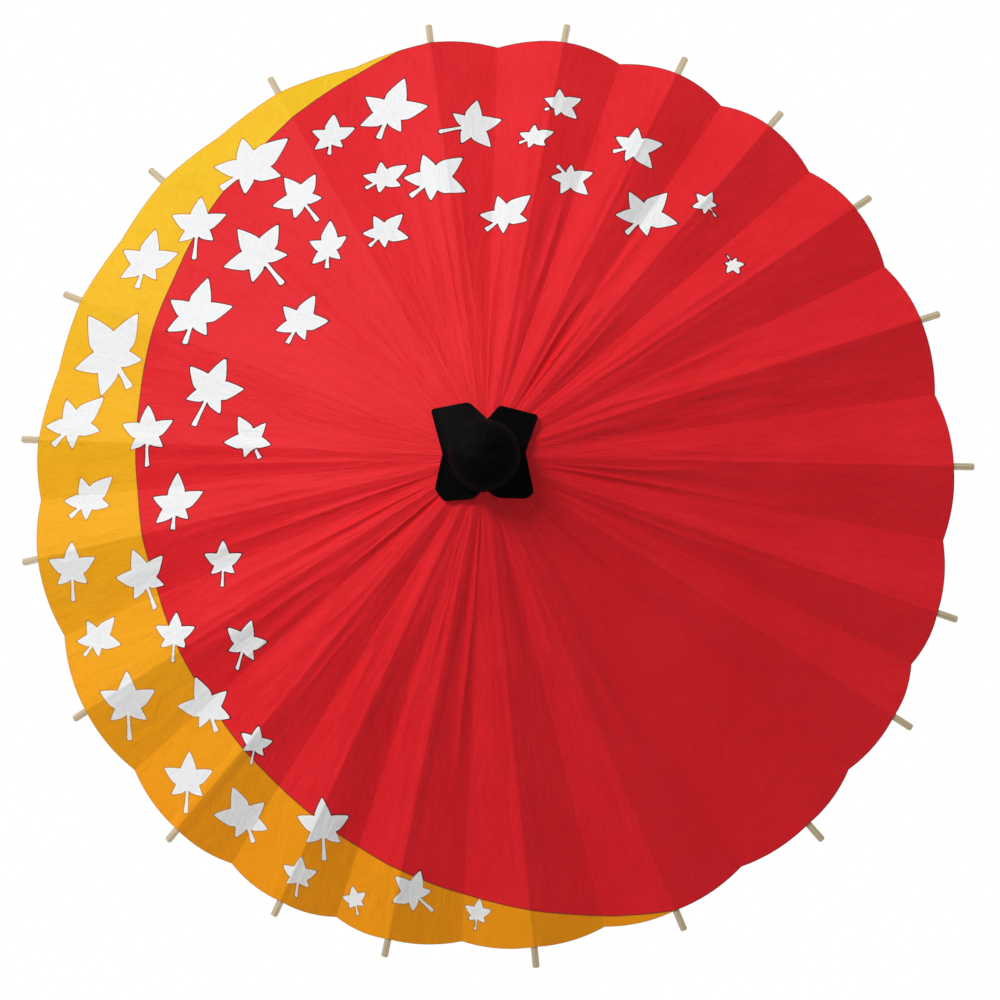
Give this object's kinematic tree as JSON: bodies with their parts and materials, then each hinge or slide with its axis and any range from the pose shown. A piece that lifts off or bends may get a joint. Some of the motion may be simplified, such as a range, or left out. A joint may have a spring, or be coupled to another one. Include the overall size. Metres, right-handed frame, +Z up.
{
  "type": "oil paper umbrella",
  "caption": "Open bamboo-and-paper parasol with a round pleated paper canopy, hinged ribs and stretchers, sliding runner, black tied cap and wound grip.",
  "frame": {"origin": "centre of the grip's lower end, on the shaft's axis", "axes": "+Z up along the shaft to the cap, +X towards the catch and close to rib_01"},
  "size_m": [0.856, 0.8529, 0.6873],
  "materials": {
    "bamboo": "smooth pale bamboo",
    "bamboo_stretcher": "smooth bamboo",
    "oiled_paper": "oiled washi, red with a yellow crescent and white leaves",
    "cap_black": "soft black",
    "black_cord": "twisted cord",
    "shaft_wood": "dark lacquer",
    "hub_wood": "turned wood",
    "thread": "waxed thread",
    "peg_wood": "split bamboo",
    "rattan": "wound rattan strip",
    "black_lacquer": "gloss lacquer"
  },
  "bodies": {
    "root": {"shaft": "shaft_wood", "upper_hub": "hub_wood", "upper_thread": "thread", "hub_peg": "peg_wood", "stop_pin": "peg_wood", "canopy": "oiled_paper", "cap_dome": "cap_black", "cap_flap_01": "cap_black", "cap_flap_02": "cap_black", "cap_flap_03": "cap_black", "cap_flap_04": "cap_black", "cap_cord": "black_cord", "grip_wrap": "rattan", "grip_collar": "black_lacquer", "butt_cap": "black_lacquer"},
    "rib_01": {"rib_01": "bamboo"},
    "rib_02": {"rib_02": "bamboo"},
    "rib_03": {"rib_03": "bamboo"},
    "rib_04": {"rib_04": "bamboo"},
    "rib_05": {"rib_05": "bamboo"},
    "rib_06": {"rib_06": "bamboo"},
    "rib_07": {"rib_07": "bamboo"},
    "rib_08": {"rib_08": "bamboo"},
    "rib_09": {"rib_09": "bamboo"},
    "rib_10": {"rib_10": "bamboo"},
    "rib_11": {"rib_11": "bamboo"},
    "rib_12": {"rib_12": "bamboo"},
    "rib_13": {"rib_13": "bamboo"},
    "rib_14": {"rib_14": "bamboo"},
    "rib_15": {"rib_15": "bamboo"},
    "rib_16": {"rib_16": "bamboo"},
    "rib_17": {"rib_17": "bamboo"},
    "rib_18": {"rib_18": "bamboo"},
    "rib_19": {"rib_19": "bamboo"},
    "rib_20": {"rib_20": "bamboo"},
    "rib_21": {"rib_21": "bamboo"},
    "stretcher_01": {"stretcher_01": "bamboo_stretcher"},
    "stretcher_02": {"stretcher_02": "bamboo_stretcher"},
    "stretcher_03": {"stretcher_03": "bamboo_stretcher"},
    "stretcher_04": {"stretcher_04": "bamboo_stretcher"},
    "stretcher_05": {"stretcher_05": "bamboo_stretcher"},
    "stretcher_06": {"stretcher_06": "bamboo_stretcher"},
    "stretcher_07": {"stretcher_07": "bamboo_stretcher"},
    "stretcher_08": {"stretcher_08": "bamboo_stretcher"},
    "stretcher_09": {"stretcher_09": "bamboo_stretcher"},
    "stretcher_10": {"stretcher_10": "bamboo_stretcher"},
    "stretcher_11": {"stretcher_11": "bamboo_stretcher"},
    "stretcher_12": {"stretcher_12": "bamboo_stretcher"},
    "stretcher_13": {"stretcher_13": "bamboo_stretcher"},
    "stretcher_14": {"stretcher_14": "bamboo_stretcher"},
    "stretcher_15": {"stretcher_15": "bamboo_stretcher"},
    "stretcher_16": {"stretcher_16": "bamboo_stretcher"},
    "stretcher_17": {"stretcher_17": "bamboo_stretcher"},
    "stretcher_18": {"stretcher_18": "bamboo_stretcher"},
    "stretcher_19": {"stretcher_19": "bamboo_stretcher"},
    "stretcher_20": {"stretcher_20": "bamboo_stretcher"},
    "stretcher_21": {"stretcher_21": "bamboo_stretcher"},
    "runner": {"runner": "hub_wood", "runner_thread": "thread"},
    "latch": {"latch": "peg_wood"}
  },
  "joints": [
    {"name": "rib_01_fold", "type": "hinge", "parent": "root", "child": "rib_01", "pos_m": [0.01699, 0.00059, 0.65], "axis": [-0.0349, 0.9994, 0], "range_deg": [0, 61], "deforming": ["canopy", "latch"]},
    {"name": "rib_02_fold", "type": "hinge", "parent": "root", "child": "rib_02", "pos_m": [0.01587, 0.00609, 0.65], "axis": [-0.3584, 0.9336, 0], "range_deg": [0, 61]},
    {"name": "rib_03_fold", "type": "hinge", "parent": "root", "child": "rib_03", "pos_m": [0.01349, 0.01035, 0.65], "axis": [-0.6088, 0.7934, 0], "range_deg": [0, 61]},
    {"name": "rib_04_fold", "type": "hinge", "parent": "root", "child": "rib_04", "pos_m": [0.01035, 0.01349, 0.65], "axis": [-0.7934, 0.6088, 0], "range_deg": [0, 61]},
    {"name": "rib_05_fold", "type": "hinge", "parent": "root", "child": "rib_05", "pos_m": [0.00691, 0.01553, 0.65], "axis": [-0.9135, 0.4067, 0], "range_deg": [0, 61]},
    {"name": "rib_06_fold", "type": "hinge", "parent": "root", "child": "rib_06", "pos_m": [0.00266, 0.01679, 0.65], "axis": [-0.9877, 0.1564, 0], "range_deg": [0, 61]},
    {"name": "rib_07_fold", "type": "hinge", "parent": "root", "child": "rib_07", "pos_m": [-0.00237, 0.01683, 0.65], "axis": [-0.9903, -0.1392, 0], "range_deg": [0, 61]},
    {"name": "rib_08_fold", "type": "hinge", "parent": "root", "child": "rib_08", "pos_m": [-0.00811, 0.01494, 0.65], "axis": [-0.8788, -0.4772, 0], "range_deg": [0, 61]},
    {"name": "rib_09_fold", "type": "hinge", "parent": "root", "child": "rib_09", "pos_m": [-0.01243, 0.01159, 0.65], "axis": [-0.682, -0.7314, 0], "range_deg": [0, 61]},
    {"name": "rib_10_fold", "type": "hinge", "parent": "root", "child": "rib_10", "pos_m": [-0.01547, 0.00705, 0.65], "axis": [-0.4147, -0.91, 0], "range_deg": [0, 61]},
    {"name": "rib_11_fold", "type": "hinge", "parent": "root", "child": "rib_11", "pos_m": [-0.01691, 0.00178, 0.65], "axis": [-0.1045, -0.9945, 0], "range_deg": [0, 61]},
    {"name": "rib_12_fold", "type": "hinge", "parent": "root", "child": "rib_12", "pos_m": [-0.01679, -0.00266, 0.65], "axis": [0.1564, -0.9877, 0], "range_deg": [0, 61]},
    {"name": "rib_13_fold", "type": "hinge", "parent": "root", "child": "rib_13", "pos_m": [-0.01487, -0.00824, 0.65], "axis": [0.4848, -0.8746, 0], "range_deg": [0, 61]},
    {"name": "rib_14_fold", "type": "hinge", "parent": "root", "child": "rib_14", "pos_m": [-0.01149, -0.01253, 0.65], "axis": [0.7373, -0.6756, 0], "range_deg": [0, 61]},
    {"name": "rib_15_fold", "type": "hinge", "parent": "root", "child": "rib_15", "pos_m": [-0.00772, -0.01515, 0.65], "axis": [0.891, -0.454, 0], "range_deg": [0, 61]},
    {"name": "rib_16_fold", "type": "hinge", "parent": "root", "child": "rib_16", "pos_m": [-0.00382, -0.01656, 0.65], "axis": [0.9744, -0.225, 0], "range_deg": [0, 61]},
    {"name": "rib_17_fold", "type": "hinge", "parent": "root", "child": "rib_17", "pos_m": [0.00148, -0.01694, 0.65], "axis": [0.9962, 0.0872, 0], "range_deg": [0, 61]},
    {"name": "rib_18_fold", "type": "hinge", "parent": "root", "child": "rib_18", "pos_m": [0.00664, -0.01565, 0.65], "axis": [0.9205, 0.3907, 0], "range_deg": [0, 61]},
    {"name": "rib_19_fold", "type": "hinge", "parent": "root", "child": "rib_19", "pos_m": [0.01149, -0.01253, 0.65], "axis": [0.7373, 0.6756, 0], "range_deg": [0, 61]},
    {"name": "rib_20_fold", "type": "hinge", "parent": "root", "child": "rib_20", "pos_m": [0.01465, -0.00863, 0.65], "axis": [0.5075, 0.8616, 0], "range_deg": [0, 61]},
    {"name": "rib_21_fold", "type": "hinge", "parent": "root", "child": "rib_21", "pos_m": [0.0163, -0.00483, 0.65], "axis": [0.284, 0.9588, 0], "range_deg": [0, 61]},
    {"name": "stretcher_01_fold", "type": "hinge", "parent": "rib_01", "child": "stretcher_01", "pos_m": [0.19959, 0.00697, 0.56865], "axis": [-0.0349, 0.9994, 0], "range_deg": [-122, 0]},
    {"name": "stretcher_02_fold", "type": "hinge", "parent": "rib_02", "child": "stretcher_02", "pos_m": [0.18644, 0.07157, 0.56865], "axis": [-0.3584, 0.9336, 0], "range_deg": [-122, 0]},
    {"name": "stretcher_03_fold", "type": "hinge", "parent": "rib_03", "child": "stretcher_03", "pos_m": [0.15844, 0.12158, 0.56865], "axis": [-0.6088, 0.7934, 0], "range_deg": [-122, 0]},
    {"name": "stretcher_04_fold", "type": "hinge", "parent": "rib_04", "child": "stretcher_04", "pos_m": [0.12158, 0.15844, 0.56865], "axis": [-0.7934, 0.6088, 0], "range_deg": [-122, 0]},
    {"name": "stretcher_05_fold", "type": "hinge", "parent": "rib_05", "child": "stretcher_05", "pos_m": [0.08123, 0.18244, 0.56865], "axis": [-0.9135, 0.4067, 0], "range_deg": [-122, 0]},
    {"name": "stretcher_06_fold", "type": "hinge", "parent": "rib_06", "child": "stretcher_06", "pos_m": [0.03124, 0.19725, 0.56865], "axis": [-0.9877, 0.1564, 0], "range_deg": [-122, 0]},
    {"name": "stretcher_07_fold", "type": "hinge", "parent": "rib_07", "child": "stretcher_07", "pos_m": [-0.02779, 0.19777, 0.56865], "axis": [-0.9903, -0.1392, 0], "range_deg": [-122, 0]},
    {"name": "stretcher_08_fold", "type": "hinge", "parent": "rib_08", "child": "stretcher_08", "pos_m": [-0.09529, 0.17551, 0.56865], "axis": [-0.8788, -0.4772, 0], "range_deg": [-122, 0]},
    {"name": "stretcher_09_fold", "type": "hinge", "parent": "rib_09", "child": "stretcher_09", "pos_m": [-0.14606, 0.1362, 0.56865], "axis": [-0.682, -0.7314, 0], "range_deg": [-122, 0]},
    {"name": "stretcher_10_fold", "type": "hinge", "parent": "rib_10", "child": "stretcher_10", "pos_m": [-0.18173, 0.08282, 0.56865], "axis": [-0.4147, -0.91, 0], "range_deg": [-122, 0]},
    {"name": "stretcher_11_fold", "type": "hinge", "parent": "rib_11", "child": "stretcher_11", "pos_m": [-0.19862, 0.02088, 0.56865], "axis": [-0.1045, -0.9945, 0], "range_deg": [-122, 0]},
    {"name": "stretcher_12_fold", "type": "hinge", "parent": "rib_12", "child": "stretcher_12", "pos_m": [-0.19725, -0.03124, 0.56865], "axis": [0.1564, -0.9877, 0], "range_deg": [-122, 0]},
    {"name": "stretcher_13_fold", "type": "hinge", "parent": "rib_13", "child": "stretcher_13", "pos_m": [-0.17467, -0.09682, 0.56865], "axis": [0.4848, -0.8746, 0], "range_deg": [-122, 0]},
    {"name": "stretcher_14_fold", "type": "hinge", "parent": "rib_14", "child": "stretcher_14", "pos_m": [-0.13492, -0.14724, 0.56865], "axis": [0.7373, -0.6756, 0], "range_deg": [-122, 0]},
    {"name": "stretcher_15_fold", "type": "hinge", "parent": "rib_15", "child": "stretcher_15", "pos_m": [-0.09067, -0.17794, 0.56865], "axis": [0.891, -0.454, 0], "range_deg": [-122, 0]},
    {"name": "stretcher_16_fold", "type": "hinge", "parent": "rib_16", "child": "stretcher_16", "pos_m": [-0.04492, -0.19459, 0.56865], "axis": [0.9744, -0.225, 0], "range_deg": [-122, 0]},
    {"name": "stretcher_17_fold", "type": "hinge", "parent": "rib_17", "child": "stretcher_17", "pos_m": [0.01741, -0.19895, 0.56865], "axis": [0.9962, 0.0872, 0], "range_deg": [-122, 0]},
    {"name": "stretcher_18_fold", "type": "hinge", "parent": "rib_18", "child": "stretcher_18", "pos_m": [0.07803, -0.18383, 0.56865], "axis": [0.9205, 0.3907, 0], "range_deg": [-122, 0]},
    {"name": "stretcher_19_fold", "type": "hinge", "parent": "rib_19", "child": "stretcher_19", "pos_m": [0.13492, -0.14724, 0.56865], "axis": [0.7373, 0.6756, 0], "range_deg": [-122, 0]},
    {"name": "stretcher_20_fold", "type": "hinge", "parent": "rib_20", "child": "stretcher_20", "pos_m": [0.17208, -0.10136, 0.56865], "axis": [0.5075, 0.8616, 0], "range_deg": [-122, 0]},
    {"name": "stretcher_21_fold", "type": "hinge", "parent": "rib_21", "child": "stretcher_21", "pos_m": [0.19148, -0.05672, 0.56865], "axis": [0.284, 0.9588, 0], "range_deg": [-122, 0]},
    {"name": "runner_travel", "type": "hinge", "parent": "stretcher_01", "child": "runner", "pos_m": [0.01699, 0.00059, 0.48731], "axis": [-0.0349, 0.9994, 0], "range_deg": [0, 61]},
    {"name": "latch_press", "type": "hinge", "parent": "root", "child": "latch", "pos_m": [0.0042, 0, 0.42981], "axis": [0, -1, 0], "range_deg": [0, 6], "stiffness_Nm_per_rad": 0.05}
  ],
  "couplings": [
    {"joint": "rib_02_fold", "follows": "rib_01_fold", "ratio": 1},
    {"joint": "rib_03_fold", "follows": "rib_01_fold", "ratio": 1},
    {"joint": "rib_04_fold", "follows": "rib_01_fold", "ratio": 1},
    {"joint": "rib_05_fold", "follows": "rib_01_fold", "ratio": 1},
    {"joint": "rib_06_fold", "follows": "rib_01_fold", "ratio": 1},
    {"joint": "rib_07_fold", "follows": "rib_01_fold", "ratio": 1},
    {"joint": "rib_08_fold", "follows": "rib_01_fold", "ratio": 1},
    {"joint": "rib_09_fold", "follows": "rib_01_fold", "ratio": 1},
    {"joint": "rib_10_fold", "follows": "rib_01_fold", "ratio": 1},
    {"joint": "rib_11_fold", "follows": "rib_01_fold", "ratio": 1},
    {"joint": "rib_12_fold", "follows": "rib_01_fold", "ratio": 1},
    {"joint": "rib_13_fold", "follows": "rib_01_fold", "ratio": 1},
    {"joint": "rib_14_fold", "follows": "rib_01_fold", "ratio": 1},
    {"joint": "rib_15_fold", "follows": "rib_01_fold", "ratio": 1},
    {"joint": "rib_16_fold", "follows": "rib_01_fold", "ratio": 1},
    {"joint": "rib_17_fold", "follows": "rib_01_fold", "ratio": 1},
    {"joint": "rib_18_fold", "follows": "rib_01_fold", "ratio": 1},
    {"joint": "rib_19_fold", "follows": "rib_01_fold", "ratio": 1},
    {"joint": "rib_20_fold", "follows": "rib_01_fold", "ratio": 1},
    {"joint": "rib_21_fold", "follows": "rib_01_fold", "ratio": 1},
    {"joint": "stretcher_01_fold", "follows": "rib_01_fold", "ratio": -2},
    {"joint": "stretcher_02_fold", "follows": "rib_01_fold", "ratio": -2},
    {"joint": "stretcher_03_fold", "follows": "rib_01_fold", "ratio": -2},
    {"joint": "stretcher_04_fold", "follows": "rib_01_fold", "ratio": -2},
    {"joint": "stretcher_05_fold", "follows": "rib_01_fold", "ratio": -2},
    {"joint": "stretcher_06_fold", "follows": "rib_01_fold", "ratio": -2},
    {"joint": "stretcher_07_fold", "follows": "rib_01_fold", "ratio": -2},
    {"joint": "stretcher_08_fold", "follows": "rib_01_fold", "ratio": -2},
    {"joint": "stretcher_09_fold", "follows": "rib_01_fold", "ratio": -2},
    {"joint": "stretcher_10_fold", "follows": "rib_01_fold", "ratio": -2},
    {"joint": "stretcher_11_fold", "follows": "rib_01_fold", "ratio": -2},
    {"joint": "stretcher_12_fold", "follows": "rib_01_fold", "ratio": -2},
    {"joint": "stretcher_13_fold", "follows": "rib_01_fold", "ratio": -2},
    {"joint": "stretcher_14_fold", "follows": "rib_01_fold", "ratio": -2},
    {"joint": "stretcher_15_fold", "follows": "rib_01_fold", "ratio": -2},
    {"joint": "stretcher_16_fold", "follows": "rib_01_fold", "ratio": -2},
    {"joint": "stretcher_17_fold", "follows": "rib_01_fold", "ratio": -2},
    {"joint": "stretcher_18_fold", "follows": "rib_01_fold", "ratio": -2},
    {"joint": "stretcher_19_fold", "follows": "rib_01_fold", "ratio": -2},
    {"joint": "stretcher_20_fold", "follows": "rib_01_fold", "ratio": -2},
    {"joint": "stretcher_21_fold", "follows": "rib_01_fold", "ratio": -2},
    {"joint": "runner_travel", "follows": "rib_01_fold", "ratio": 1}
  ]
}
